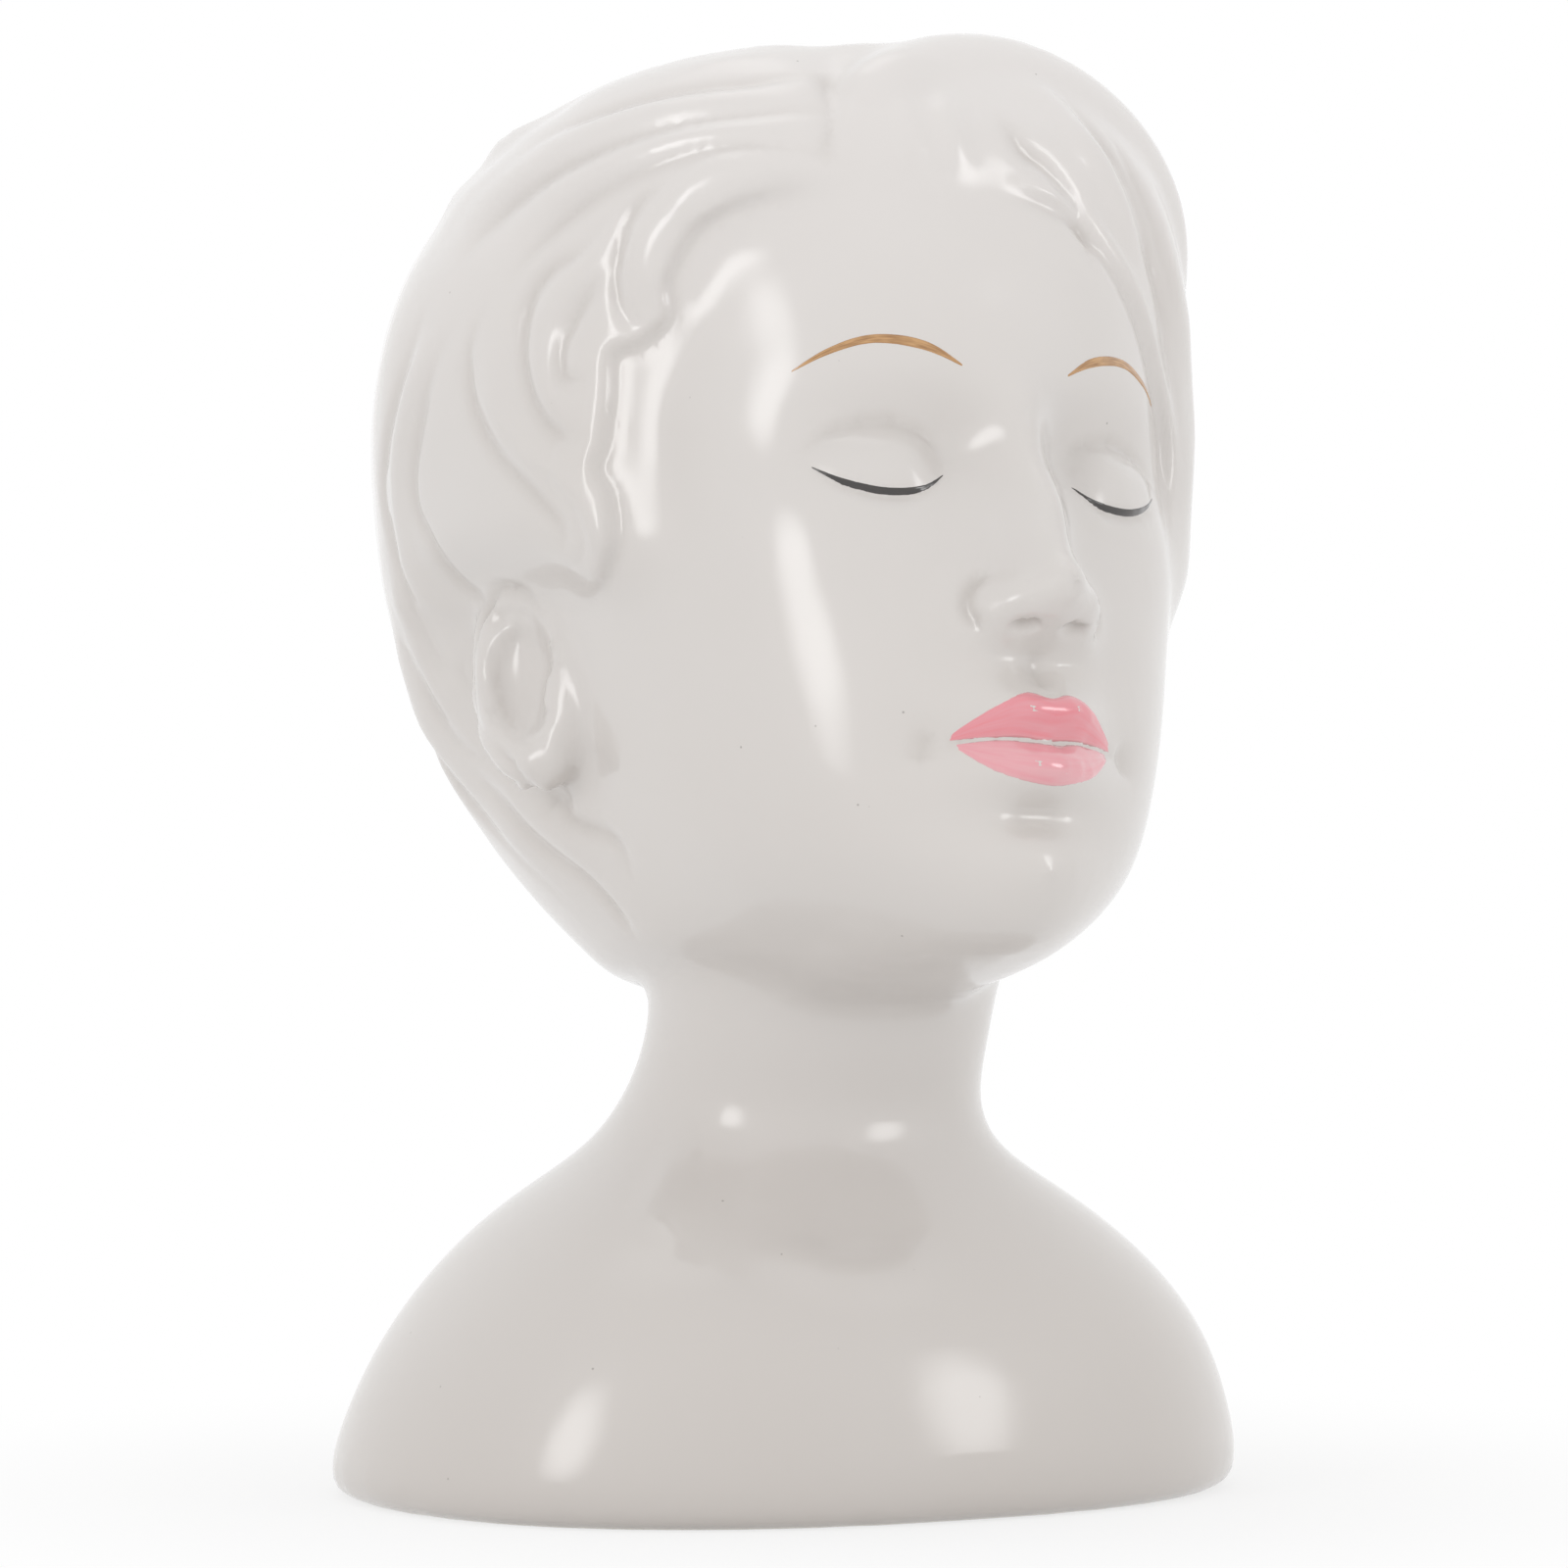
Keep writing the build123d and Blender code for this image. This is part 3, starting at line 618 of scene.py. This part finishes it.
@dataclass(frozen=True)
class GlazedPorcelain:
    """Slip-cast porcelain under a clear glaze, with a bare clay foot."""

    body: str = "dbd7d4"
    warm: str = "d8d2cd"
    # Colour of the painted shade low on the bust and in the carved grooves, where glaze also pools
    pool_and_shade: str = "bdb5ae"
    pinhole: str = "6f665e"
    biscuit: str = "e4dccd"
    roughness: float = 0.45
    ior: float = 1.5
    coat_roughness: float = 0.07
    # Colour of the painted highlight over the top of the head
    thin: str = "efebe9"
    cloud_mm: float = 38.0
    # Painted shade: height band and strength of the darkening towards the bottom of the bust
    low_shade_mm: Pair = (2.0, 62.0)
    low_shade_most: float = 0.48
    # Painted highlight: height band and strength of the lightening over the top of the head
    top_light_mm: Pair = (108.0, 148.0)
    top_light_most: float = 0.6
    pinhole_spacing_mm: float = 5.5
    pinhole_mm: float = 0.16
    ripple_mm: float = 7.0
    foot_mm: float = 0.35

    def material(self) -> bpy.types.Material:
        """Make the glaze.

        Returns:
            The material: a warm, faintly uneven white, with painted shade in the carved grooves (partly
                glaze pooling), painted shade low on the bust and a painted highlight over the top of
                the head.
        """
        # Glass over white clay: soft colour below, clear and slightly wavy reflections on top
        made = new_material("glazed_porcelain")
        tree = made.node_tree
        place = add_node(tree, "ShaderNodeTexCoord", {}, {}).outputs["Object"]
        cloud = add_node(
            tree,
            "ShaderNodeTexNoise",
            {"Scale": 1 / (self.cloud_mm * MM), "Detail": 2.0},
            {"Vector": place},
        )
        tone = add_node(
            tree,
            "ShaderNodeMix",
            {"data_type": "RGBA", 6: linear(self.body), 7: linear(self.warm)},
            {0: cloud.outputs["Fac"]},
        )
        height = add_node(tree, "ShaderNodeSeparateXYZ", {}, {"Vector": place})
        # Painted shade low on the bust and a painted highlight over the top of the head, each ramped by
        # height
        for (low, high), start, end, hue in (
            (self.low_shade_mm, self.low_shade_most, 0.0, self.pool_and_shade),
            (self.top_light_mm, 0.0, self.top_light_most, self.thin),
        ):
            light_and_shade_ramp = add_node(
                tree,
                "ShaderNodeMapRange",
                {"From Min": low * MM, "From Max": high * MM, "To Min": start, "To Max": end},
                {"Value": height.outputs["Z"]},
            )
            tone = add_node(
                tree,
                "ShaderNodeMix",
                {"data_type": "RGBA", 7: linear(hue)},
                {0: light_and_shade_ramp.outputs["Result"], 6: tone.outputs[2]},
            )
        # Painted shade in the carved grooves, partly glaze pooling: darker the deeper the stroke cut
        groove_shade = add_node(tree, "ShaderNodeAttribute", {"attribute_name": "glaze_pool_and_shade"}, {})
        groove_shaded = add_node(
            tree,
            "ShaderNodeMix",
            {"data_type": "RGBA", 7: linear(self.pool_and_shade)},
            {0: groove_shade.outputs["Fac"], 6: tone.outputs[2]},
        )
        specks = add_node(
            tree,
            "ShaderNodeTexVoronoi",
            {"Scale": 1 / (self.pinhole_spacing_mm * MM)},
            {"Vector": place},
        )
        speck_size = self.pinhole_mm / self.pinhole_spacing_mm
        speck = add_node(
            tree,
            "ShaderNodeMapRange",
            {"From Min": speck_size, "From Max": speck_size * 0.4, "To Min": 0.0, "To Max": 0.55},
            {"Value": specks.outputs["Distance"]},
        )
        speckled = add_node(
            tree,
            "ShaderNodeMix",
            {"data_type": "RGBA", 7: linear(self.pinhole)},
            {0: speck.outputs["Result"], 6: groove_shaded.outputs[2]},
        )
        foot = add_node(
            tree,
            "ShaderNodeMapRange",
            {"From Min": self.foot_mm * MM, "From Max": self.foot_mm * 0.6 * MM},
            {"Value": height.outputs["Z"]},
        )
        colour = add_node(
            tree,
            "ShaderNodeMix",
            {"data_type": "RGBA", 7: linear(self.biscuit)},
            {0: foot.outputs["Result"], 6: speckled.outputs[2]},
        )
        ripple = add_node(
            tree,
            "ShaderNodeTexNoise",
            {"Scale": 1 / (self.ripple_mm * MM), "Detail": 1.0},
            {"Vector": place},
        )
        bump = add_node(
            tree,
            "ShaderNodeBump",
            {"Strength": 0.05, "Distance": 0.3 * MM},
            {"Height": ripple.outputs["Fac"]},
        )
        shader = add_node(
            tree,
            "ShaderNodeBsdfPrincipled",
            {
                "Roughness": self.roughness,
                "IOR": self.ior,
                "Coat Weight": 1.0,
                "Coat Roughness": self.coat_roughness,
            },
            {
                "Base Color": colour.outputs[2],
                "Normal": bump.outputs["Normal"],
                "Coat Normal": bump.outputs["Normal"],
            },
        )
        add_node(tree, "ShaderNodeOutputMaterial", {}, {"Surface": shader.outputs["BSDF"]})
        return made


@dataclass(frozen=True)
class BrushedEnamel:
    """On-glaze enamel laid with a fine brush and fired to a gloss."""

    name: str
    body: str
    streak: str
    thin: str
    streak_mm: float
    length_mm: float
    width_mm: float
    roughness: float = 0.12

    def material(self) -> bpy.types.Material:
        """Make the paint.

        Returns:
            The material: brush marks along the stroke, thin and pale towards its edges.
        """
        # Translucent glassy paint: darker where the brush left more, faded where it ran dry
        made = new_material(self.name)
        tree = made.node_tree
        place = add_node(tree, "ShaderNodeUVMap", {"uv_map": "UVMap"}, {}).outputs["UV"]
        marks = (self.length_mm / self.streak_mm / 9, self.width_mm / self.streak_mm, 1.0)
        stretched = add_node(tree, "ShaderNodeMapping", {"Scale": marks}, {"Vector": place})
        bristle = add_node(
            tree,
            "ShaderNodeTexNoise",
            {"Scale": 1.0, "Detail": 3.0},
            {"Vector": stretched.outputs["Vector"]},
        )
        drawn = add_node(
            tree,
            "ShaderNodeMapRange",
            {"From Min": 0.35, "From Max": 0.68},
            {"Value": bristle.outputs["Fac"]},
        )
        tone = add_node(
            tree,
            "ShaderNodeMix",
            {"data_type": "RGBA", 6: linear(self.body), 7: linear(self.streak)},
            {0: drawn.outputs["Result"]},
        )
        across = add_node(tree, "ShaderNodeSeparateXYZ", {}, {"Vector": place})
        centred = add_node(
            tree, "ShaderNodeMath", {"operation": "SUBTRACT", 1: 0.5}, {0: across.outputs["Y"]}
        )
        off = add_node(tree, "ShaderNodeMath", {"operation": "ABSOLUTE"}, {0: centred.outputs[0]})
        ragged = add_node(
            tree,
            "ShaderNodeMath",
            {"operation": "MULTIPLY_ADD", 1: 0.12},
            {0: bristle.outputs["Fac"], 2: off.outputs[0]},
        )
        fade = add_node(
            tree,
            "ShaderNodeMapRange",
            {"From Min": 0.46, "From Max": 0.57, "To Max": 0.8},
            {"Value": ragged.outputs[0]},
        )
        colour = add_node(
            tree,
            "ShaderNodeMix",
            {"data_type": "RGBA", 7: linear(self.thin)},
            {0: fade.outputs["Result"], 6: tone.outputs[2]},
        )
        shader = add_node(
            tree,
            "ShaderNodeBsdfPrincipled",
            {"Roughness": self.roughness, "IOR": 1.52, "Coat Weight": 1.0, "Coat Roughness": 0.05},
            {"Base Color": colour.outputs[2]},
        )
        add_node(tree, "ShaderNodeOutputMaterial", {}, {"Surface": shader.outputs["BSDF"]})
        return made


@dataclass(frozen=True)
class MouldedSilicone:
    """Soft milky silicone from a matt mould."""

    body: str = "dcd9d3"
    shade: str = "cfcac2"
    roughness: float = 0.5
    grain_mm: float = 0.5

    def material(self) -> bpy.types.Material:
        """Make the silicone.

        Returns:
            The material: milky and matt, with the mould's fine grain.
        """
        # Milky rubber: no sharp reflection, a soft grain that catches a little light
        made = new_material("moulded_silicone")
        tree = made.node_tree
        place = add_node(tree, "ShaderNodeTexCoord", {}, {}).outputs["Object"]
        grain = add_node(
            tree,
            "ShaderNodeTexNoise",
            {"Scale": 1 / (self.grain_mm * MM), "Detail": 3.0},
            {"Vector": place},
        )
        tone = add_node(
            tree,
            "ShaderNodeMix",
            {"data_type": "RGBA", 6: linear(self.body), 7: linear(self.shade)},
            {0: grain.outputs["Fac"]},
        )
        bump = add_node(
            tree,
            "ShaderNodeBump",
            {"Strength": 0.2, "Distance": 0.05 * MM},
            {"Height": grain.outputs["Fac"]},
        )
        shader = add_node(
            tree,
            "ShaderNodeBsdfPrincipled",
            {"Roughness": self.roughness, "IOR": 1.41},
            {"Base Color": tone.outputs[2], "Normal": bump.outputs["Normal"]},
        )
        add_node(tree, "ShaderNodeOutputMaterial", {}, {"Surface": shader.outputs["BSDF"]})
        return made


@dataclass
class CeramicBody:
    """The one casting, softened by its glaze and carved where the solid is plain."""

    node: str = "ceramic_body"
    voxel_mm: float = 1.05
    soften_steps: int = 4
    jaw_steps: int = 66
    jaw_mm: tuple[float, float, float, float] = (-58.0, -50.0, -46.0, -38.0)
    root_steps: int = 80
    root_mm: tuple[float, float, float, float] = (-82.0, -70.0, -60.0, -50.0)
    inner_keep: float = 0.12
    hollow_axis_m: Way = ((0.0, 0.006), (0.05, -0.002), (0.15, 0.008))
    hollow_half_m: Pair = (0.042, 0.044)
    hollow_rise_m: Pair = (0.008, 0.128)
    # Painted shade in the carved grooves, partly glaze pooling: darkening per millimetre cut, and its
    # most
    groove_shade_per_mm: float = 0.55
    groove_shade_most: float = 0.8
    relief_left: float = 0.68
    finish: GlazedPorcelain = GlazedPorcelain()

    def soften_corners(self, piece: bpy.types.Object) -> None:
        """Run the glaze into the corners under the jaw and at the root of the neck.

        Args:
            piece: The remeshed casting.
        """
        middle, up = HeadPose().line(Vector((0.0, 0.0, 0.0)), Vector((0.0, 0.0, 1.0)))
        jaw, root = ("jaw", self.jaw_mm, self.jaw_steps), ("root", self.root_mm, self.root_steps)
        for name, band, steps in (jaw, root):
            rise = (rows_of(piece.data.vertices, "co") - np.array(middle)) @ np.array(up) / MM
            low, full, end, high = band
            weight = eased(rise, low, full) * (1 - eased(rise, end, high))
            group = piece.vertex_groups.new(name=name)
            for i in np.nonzero(weight > 0.01)[0]:
                group.add([int(i)], float(weight[i]), "REPLACE")
            apply_modifier(piece, "SMOOTH", {"factor": 0.5, "iterations": steps, "vertex_group": name})

    def thin_inside(self, piece: bpy.types.Object) -> None:
        """Use fewer faces in the hollow, where only the rim is seen.

        Args:
            piece: The remeshed casting.
        """
        places, outs = rows_of(piece.data.vertices, "co"), rows_of(piece.data.vertices, "normal")
        rise, (low, high) = places[:, 2], self.hollow_rise_m
        axis_y = np.interp(rise, *zip(*self.hollow_axis_m))
        away = np.stack([places[:, 0], places[:, 1] - axis_y], axis=1)
        inward = np.einsum("ij,ij->i", away, outs[:, :2]) < 0
        deep = np.linalg.norm(away / np.array(self.hollow_half_m), axis=1) < 1.0
        inside = inward & deep & (rise > low) & (rise < high)
        group = piece.vertex_groups.new(name="hollow")
        group.add([int(i) for i in np.nonzero(inside)[0]], 1.0, "REPLACE")
        keep = 1 - inside.mean() * (1 - self.inner_keep)
        apply_modifier(piece, "DECIMATE", {"ratio": float(keep), "vertex_group": "hollow"})

    def build(self) -> bpy.types.Object:
        """Make the dressed casting and put it in the solid's place.

        Returns:
            The finished piece.
        """
        piece = merged_copy(self.node, "porcelain_bust")
        apply_modifier(piece, "REMESH", {"mode": "VOXEL", "voxel_size": self.voxel_mm * MM})
        apply_modifier(piece, "SMOOTH", {"factor": 0.5, "iterations": self.soften_steps})
        self.soften_corners(piece)
        self.thin_inside(piece)
        carver = Carver(piece)
        hair = HAIR_STROKES + tuple(back_strokes())
        softened = tuple(replace(stroke, rise_mm=stroke.rise_mm * self.relief_left) for stroke in hair)
        fine = [(stroke, rows) for stroke in softened + FACE_STROKES for rows in carver.trace(stroke)]
        broad = [(stroke, rows) for stroke in BUST_STROKES for rows in carver.trace(stroke)]
        carver.refine(fine)
        carver.carve(broad)
        # Carve the fine strokes and mark their grooves for painted shade, partly glaze pooling
        self.pool_and_shade_grooves(piece, carver.carve(fine))
        apply_modifier(piece, "SMOOTH", {"factor": 0.4, "iterations": 3})
        select_only(piece)
        bpy.ops.object.shade_smooth()
        piece.data.materials.append(self.finish.material())
        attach(piece, "planter")
        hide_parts(self.node)
        return piece

    def pool_and_shade_grooves(self, piece: bpy.types.Object, lift: np.ndarray) -> None:
        """Mark the carved grooves for painted shade, partly glaze pooling: the deeper the cut, the
        darker.

        Args:
            piece: The carved casting.
            lift: How far each vertex was lifted, in millimetres.
        """
        pool_and_shade = np.clip(-self.groove_shade_per_mm * lift, 0.0, self.groove_shade_most)
        groove_shade = piece.data.attributes.new("glaze_pool_and_shade", "FLOAT", "POINT")
        groove_shade.data.foreach_set("value", pool_and_shade.astype(np.float32))


@dataclass
class EnamelPatch:
    """One painted patch on the glazed face, between an upper and a lower edge."""

    node: str
    slot: str
    upper: Way
    lower: Way
    side: int
    finish: BrushedEnamel
    columns: int = 60
    rows: int = 14
    edge_share: float = 0.25
    end_share: float = 1 / 12
    trim_share: float = 0.012
    film_mm: float = 0.07
    sunk_mm: float = 0.05
    thickness_mm: float = 0.22

    def build(self, glazed: BVHTree) -> bpy.types.Object:
        """Lay the paint on the glaze.

        Args:
            glazed: The carved casting's surface.

        Returns:
            The finished piece, a closed thin skin.
        """
        bpy.ops.object.select_all(action="DESELECT")
        bpy.ops.mesh.primitive_grid_add(x_subdivisions=self.columns, y_subdivisions=self.rows, size=2.0)
        piece = bpy.context.object
        piece.name = self.node.replace("enamel", "paint")
        flat = rows_of(piece.data.vertices, "co")
        u, v = (flat[:, 0] + 1) / 2, (flat[:, 1] + 1) / 2
        steps = 400
        top = smooth_through(np.array(self.upper), steps)
        low = smooth_through(np.array(self.lower), steps)
        along = self.trim_share + (1 - 2 * self.trim_share) * u
        at = np.clip(along * (steps - 1), 0, steps - 1).astype(int)
        outline = low[at] + (top[at] - low[at]) * v[:, None]
        from_edge = np.minimum(v, 1 - v) / self.edge_share
        from_end = np.minimum(u, 1 - u) / self.end_share
        inner = np.minimum(from_edge, from_end)
        film = -self.sunk_mm + (self.film_mm + self.sunk_mm) * eased(inner, 0.0, 1.0)
        placed = []
        for (a, b), rise in zip(outline, film):
            place, out, _, _ = glazed.ray_cast(*ray_for(Ground.FACE, a, b, self.side))
            placed.append(tuple(place + out * rise * MM))
        piece.data.vertices.foreach_set("co", np.array(placed).reshape(-1))
        piece.data.update()
        select_only(piece)
        bpy.ops.object.mode_set(mode="EDIT")
        bpy.ops.mesh.select_all(action="SELECT")
        if self.side < 0:
            bpy.ops.mesh.flip_normals()
        bpy.ops.object.mode_set(mode="OBJECT")
        apply_modifier(piece, "SMOOTH", {"factor": 0.4, "iterations": 2})
        apply_modifier(piece, "SOLIDIFY", {"thickness": self.thickness_mm * MM, "offset": -1.0})
        select_only(piece)
        bpy.ops.object.shade_smooth()
        piece.data.materials.append(self.finish.material())
        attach(piece, "planter")
        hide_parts(self.node)
        return piece


LIP = BrushedEnamel("pink_lip_enamel", "e89aa2", "ea8791", "e6b4b6", 0.9, 20.0, 5.0)
LOWER_LIP = replace(LIP, name="pale_pink_lip_enamel", body="eaacb2", streak="ea9ba4")
BROW = BrushedEnamel("amber_brow_enamel", "c99a62", "9a6a35", "d8bfa2", 0.22, 17.0, 1.1)
LASH = BrushedEnamel("black_lash_enamel", "2a211d", "16110f", "5d524b", 0.22, 14.0, 0.9)


@dataclass
class PaintedFace:
    """The six patches of enamel on the face, on the solids' outlines, with the lips closed."""

    upper_lip: tuple[Way, Way] = (
        [(-0.105, -0.303), (-0.060, -0.272), (-0.026, -0.256), (0.000, -0.262)]
        + [(0.026, -0.256), (0.060, -0.272), (0.105, -0.303)],
        [(-0.105, -0.303), (-0.070, -0.3025), (-0.035, -0.303), (0.000, -0.306)]
        + [(0.035, -0.303), (0.070, -0.3025), (0.105, -0.303)],
    )
    lower_lip: tuple[Way, Way] = (
        [(-0.096, -0.307), (-0.050, -0.304), (0.0, -0.308), (0.050, -0.304), (0.096, -0.307)],
        [(-0.096, -0.307), (-0.055, -0.341), (0.0, -0.354), (0.055, -0.341), (0.096, -0.307)],
    )
    brow: tuple[Way, Way] = (
        [(0.055, 0.088), (0.100, 0.119), (0.150, 0.128), (0.190, 0.117), (0.226, 0.092)],
        [(0.055, 0.088), (0.100, 0.106), (0.150, 0.116), (0.190, 0.108), (0.226, 0.092)],
    )
    lash: tuple[Way, Way] = (
        [(0.072, -0.014), (0.105, -0.031), (0.145, -0.034), (0.182, -0.022), (0.212, -0.002)],
        [(0.072, -0.014), (0.105, -0.039), (0.145, -0.043), (0.182, -0.030), (0.212, -0.002)],
    )

    def build(self, glazed: BVHTree) -> list[bpy.types.Object]:
        """Lay all six patches.

        Args:
            glazed: The carved casting's surface.

        Returns:
            The finished pieces.
        """
        lip_edge = {"edge_share": 0.08}
        patches = [
            EnamelPatch("upper_lip_enamel", "lip_enamel", *self.upper_lip, 1, LIP, **lip_edge),
            EnamelPatch("lower_lip_enamel", "lip_enamel", *self.lower_lip, 1, LOWER_LIP, **lip_edge),
            EnamelPatch("left_brow_enamel", "brow_enamel", *self.brow, 1, BROW),
            EnamelPatch("right_brow_enamel", "brow_enamel", *self.brow, -1, BROW),
            EnamelPatch("left_lash_enamel", "lash_enamel", *self.lash, 1, LASH),
            EnamelPatch("right_lash_enamel", "lash_enamel", *self.lash, -1, LASH),
        ]
        return [patch.build(glazed) for patch in patches]


@dataclass
class DrainPlug:
    """The soft plug under the base."""

    node: str = "drain_plug"
    round_mm: float = 0.25
    finish: MouldedSilicone = MouldedSilicone()

    def build(self) -> bpy.types.Object:
        """Round the plug's edges and dress it.

        Returns:
            The finished piece.
        """
        piece = merged_copy(self.node, "silicone_plug")
        apply_modifier(
            piece,
            "BEVEL",
            {
                "width": self.round_mm * MM,
                "segments": 2,
                "limit_method": "ANGLE",
                "angle_limit": math.radians(35),
            },
        )
        select_only(piece)
        bpy.ops.object.shade_smooth_by_angle(angle=math.radians(40))
        piece.data.materials.append(self.finish.material())
        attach(piece, "plug")
        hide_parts(self.node)
        return piece


@dataclass(frozen=True)
class SoftBox:
    """One soft box, aimed at the head, bright in its middle and fading to its edges."""

    name: str
    place_m: tuple[float, float, float]
    size_m: Pair
    radiance: float
    aim_m: tuple[float, float, float] = (0.0, 0.0, 0.09)
    core_share: float = 0.12

    def build(self) -> None:
        """Hang the box."""
        data = bpy.data.lights.new(self.name, "AREA")
        data.shape = "RECTANGLE"
        data.size, data.size_y = self.size_m
        data.energy = self.radiance * math.pi * self.size_m[0] * self.size_m[1]
        data.use_nodes = True
        tree = data.node_tree
        tree.nodes.clear()
        cloth = add_node(tree, "ShaderNodeNewGeometry", {}, {}).outputs["Parametric"]
        off = add_node(
            tree, "ShaderNodeVectorMath", {"operation": "DISTANCE", 1: (0.5, 0.5, 0.0)}, {0: cloth}
        )
        fall = add_node(
            tree,
            "ShaderNodeMapRange",
            {"interpolation_type": "SMOOTHSTEP", "From Min": 0.5, "From Max": self.core_share},
            {"Value": off.outputs["Value"]},
        )
        glow = add_node(tree, "ShaderNodeEmission", {}, {"Strength": fall.outputs["Result"]})
        add_node(tree, "ShaderNodeOutputLight", {}, {"Surface": glow.outputs["Emission"]})
        lamp = bpy.data.objects.new(self.name, data)
        look = Vector(self.aim_m) - Vector(self.place_m)
        turn = look.to_track_quat("-Z", "Y").to_matrix().to_4x4()
        lamp.matrix_world = Matrix.Translation(self.place_m) @ turn
        bpy.context.collection.objects.link(lamp)


@dataclass
class Studio:
    """Plain white floor under soft boxes and even light."""

    floor_m: float = 8.0
    white: str = "ffffff"
    floor_white: str = "f2f2f2"
    bright_m: Pair = (0.02, 0.13)
    contact_glow: float = 0.72
    fill: float = 0.79
    boxes: tuple[SoftBox, ...] = (
        SoftBox("window_box_left", (-1.12, -0.38, 0.36), (0.56, 0.95), 4.0),
        SoftBox("window_box_right", (0.58, -1.02, 0.26), (0.46, 0.95), 3.6),
        SoftBox("top_box", (0.0, 0.25, 1.25), (1.2, 1.2), 0.6),
    )

    def build(self) -> None:
        """Make the floor, the boxes and the world."""
        bpy.ops.object.select_all(action="DESELECT")
        bpy.ops.mesh.primitive_plane_add(size=self.floor_m, location=(0.0, 0.0, 0.0))
        floor = bpy.context.object
        floor.name = "floor"
        floor.data.materials.append(self.floor_paint())
        for box in self.boxes:
            box.build()
        self.light_world()

    def floor_paint(self) -> bpy.types.Material:
        """Make the floor's paint.

        Returns:
            The material: matt white that takes the shadow, then plain white further out.
        """
        # Matt white paper: no gloss, a soft shadow close to the foot and none further out
        made = new_material("white_matt_floor")
        tree = made.node_tree
        place = add_node(tree, "ShaderNodeTexCoord", {}, {}).outputs["Object"]
        reach = add_node(tree, "ShaderNodeVectorMath", {"operation": "LENGTH"}, {0: place})
        away = add_node(
            tree,
            "ShaderNodeMapRange",
            {
                "interpolation_type": "SMOOTHSTEP",
                "From Min": self.bright_m[0],
                "From Max": self.bright_m[1],
                "To Min": self.contact_glow,
            },
            {"Value": reach.outputs["Value"]},
        )
        matt = add_node(tree, "ShaderNodeBsdfDiffuse", {"Color": linear(self.floor_white)}, {})
        glow = add_node(tree, "ShaderNodeEmission", {"Color": linear(self.white), "Strength": 1.0}, {})
        seen = seen_rays(tree)
        share = add_node(
            tree, "ShaderNodeMath", {"operation": "MULTIPLY"}, {0: away.outputs["Result"], 1: seen}
        )
        shader = add_node(
            tree,
            "ShaderNodeMixShader",
            {},
            {0: share.outputs[0], 1: matt.outputs["BSDF"], 2: glow.outputs["Emission"]},
        )
        add_node(tree, "ShaderNodeOutputMaterial", {}, {"Surface": shader.outputs["Shader"]})
        return made

    def light_world(self) -> None:
        """Even light from all round, seen as plain white."""
        world = bpy.context.scene.world or bpy.data.worlds.new("studio")
        bpy.context.scene.world = world
        world.use_nodes = True
        tree = world.node_tree
        tree.nodes.clear()
        seen = seen_rays(tree)
        strength = add_node(
            tree, "ShaderNodeMapRange", {"To Min": self.fill, "To Max": 1.0}, {"Value": seen}
        )
        sky = add_node(
            tree,
            "ShaderNodeBackground",
            {"Color": linear(self.white)},
            {"Strength": strength.outputs["Result"]},
        )
        add_node(tree, "ShaderNodeOutputWorld", {}, {"Surface": sky.outputs["Background"]})


def main() -> None:
    """Build the scene."""
    logging.basicConfig(level=logging.INFO, format="%(name)s: %(message)s")
    bpy.context.scene.view_settings.view_transform = "Standard"
    PhotoCamera().build()
    Studio().build()
    bust = CeramicBody().build()
    pieces = [bust, *PaintedFace().build(surface_of(bust)), DrainPlug().build()]
    for piece in pieces:
        sides = sum(len(p.vertices) - 2 for p in piece.data.polygons)
        LOG.info("%s: %d triangles", piece.name, sides)


if __name__ == "__main__":
    main()
